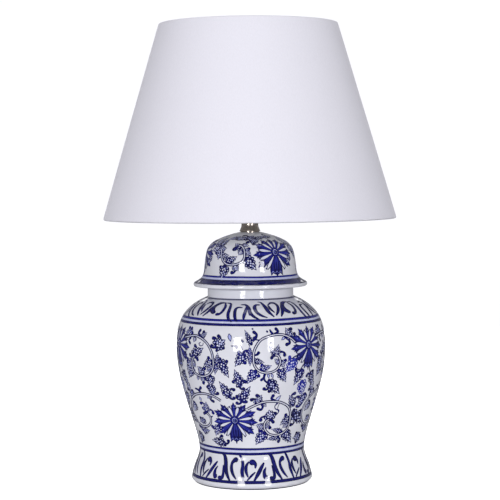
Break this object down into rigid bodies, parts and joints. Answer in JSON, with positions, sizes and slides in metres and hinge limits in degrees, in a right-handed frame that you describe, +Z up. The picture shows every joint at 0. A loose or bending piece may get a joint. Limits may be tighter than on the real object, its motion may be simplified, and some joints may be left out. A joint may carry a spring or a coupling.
{
  "type": "table lamp",
  "caption": "Table lamp: a lidded ginger jar in blue-painted white glaze, a nickel neck, a screw lamp holder with rotary switch, and a tapered round cloth shade.",
  "frame": {"origin": "centre of the felt pad's underside, on the surface the lamp stands on", "axes": "+Z up along the lamp's axis, -Y to the front, +Y to the back where the flex inlet and the shade's seam are, +X to the switch knob"},
  "size_m": [0.378, 0.378, 0.5915],
  "materials": {
    "glaze": "glossy white glaze with cobalt painting",
    "felt": "dark felt",
    "rubber": "matte",
    "cork": "matte pale gasket",
    "nickel": "brushed nickel",
    "zinc": "bright zinc",
    "brass": "satin",
    "porcelain": "unglazed",
    "phenolic": "black moulded",
    "ring": "brushed nickel",
    "bulb_glass": "clear",
    "stem_glass": "clear",
    "vitrite": "black glass insulator",
    "filament": "phosphor coat",
    "cap_metal": "bright",
    "shade_cloth": "fine white slubbed weave",
    "shade_liner": "white laminate",
    "shade_frame": "white coat"
  },
  "bodies": {
    "lamp_base": {"check_ring": "nickel", "cord_grommet": "rubber", "felt_pad": "felt", "holder_cap": "nickel", "holder_centre_contact": "brass", "holder_contact_rivet": "brass", "holder_core": "porcelain", "holder_lock_screw": "zinc", "holder_screw_shell": "brass", "holder_skirt": "nickel", "holder_terminals": "brass", "jar_body": "glaze", "jar_lid": "glaze", "lamp_neck": "nickel", "lamp_rod": "zinc", "lid_gasket": "cork", "lower_ring_collar": "ring", "lower_ring_flange": "ring", "neck_washer": "nickel", "rod_lock_washer": "zinc", "rod_nut": "zinc", "rod_plate_washer": "zinc", "rod_rubber_washer": "rubber", "switch_contacts": "brass", "terminal_screws": "zinc"},
    "switch_spindle": {"switch_cam": "phenolic", "switch_shaft": "zinc", "switch_knob": "phenolic"},
    "shade": {"shade_fabric": "shade_cloth", "shade_liner": "shade_liner", "shade_bottom_wire": "shade_frame", "shade_top_wire": "shade_frame", "shade_fitter_plate": "shade_frame", "shade_arm_1": "shade_frame", "shade_arm_2": "shade_frame", "shade_arm_3": "shade_frame"},
    "bulb_foot": {"bulb_insulator": "vitrite"},
    "bulb": {"bulb_globe": "bulb_glass", "bulb_screw_cap": "cap_metal", "bulb_centre_contact": "cap_metal", "bulb_stem": "stem_glass", "bulb_filaments": "filament", "bulb_support_wires": "zinc"},
    "ring_collar": {"upper_ring_collar": "ring"},
    "ring_flange": {"upper_ring_flange": "ring"}
  },
  "joints": [
    {"name": "switch_turn", "type": "hinge", "parent": "lamp_base", "child": "switch_spindle", "pos_m": [0.03, 0, 0.3747], "axis": [1, 0, 0], "continuous": true},
    {"name": "shade_turn", "type": "hinge", "parent": "lamp_base", "child": "shade", "pos_m": [0, 0, 0.396], "axis": [0, 0, 1], "continuous": true},
    {"name": "upper_ring_travel", "type": "slide", "parent": "lamp_base", "child": "ring_collar", "axis": [0, 0, 1], "range_m": [0, 0.015]},
    {"name": "upper_ring_turn", "type": "hinge", "parent": "ring_collar", "child": "ring_flange", "pos_m": [0, 0, 0.398], "axis": [0, 0, 1], "range_deg": [0, 2160]},
    {"name": "bulb_travel", "type": "slide", "parent": "lamp_base", "child": "bulb_foot", "axis": [0, 0, 1], "range_m": [0, 0.02177]},
    {"name": "bulb_turn", "type": "hinge", "parent": "bulb_foot", "child": "bulb", "pos_m": [0, 0, 0.409], "axis": [0, 0, 1], "range_deg": [0, 2160]}
  ],
  "couplings": [
    {"joint": "upper_ring_travel", "follows": "upper_ring_turn", "m_per_rad": 0.00039789},
    {"joint": "bulb_travel", "follows": "bulb_turn", "m_per_rad": 0.00057757}
  ]
}
